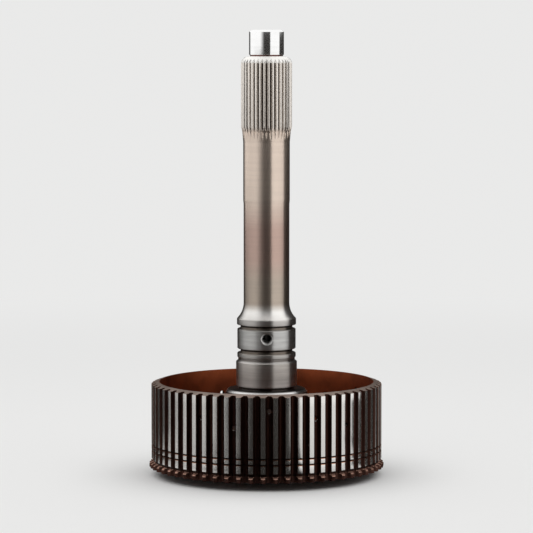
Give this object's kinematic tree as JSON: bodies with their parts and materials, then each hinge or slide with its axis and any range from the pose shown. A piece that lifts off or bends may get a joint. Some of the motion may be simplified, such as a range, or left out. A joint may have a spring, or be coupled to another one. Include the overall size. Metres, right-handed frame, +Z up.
{
  "type": "input shaft",
  "caption": "Splined automatic-transmission input shaft with seal-ring grooves and a journal, fixed to a toothed clutch hub cup at its base.",
  "frame": {"origin": "centre of the rear face, where the shaft stands", "axes": "+Z up the shaft towards its pilot nose; the oil cross-hole between the seal-ring grooves faces -Y"},
  "size_m": [0.1466, 0.1466, 0.2772],
  "materials": {
    "ground_steel": "satin turned and ground steel, the nose polished",
    "hub_steel": "copper-brown heat-treated steel with ground tooth lands",
    "bushing_bronze": "bored bearing bronze",
    "plug_steel": "drawn bright steel"
  },
  "bodies": {
    "root": {"input_shaft": "ground_steel", "clutch_hub": "hub_steel", "pilot_bushing": "bushing_bronze", "bore_plug": "plug_steel"}
  },
  "joints": []
}
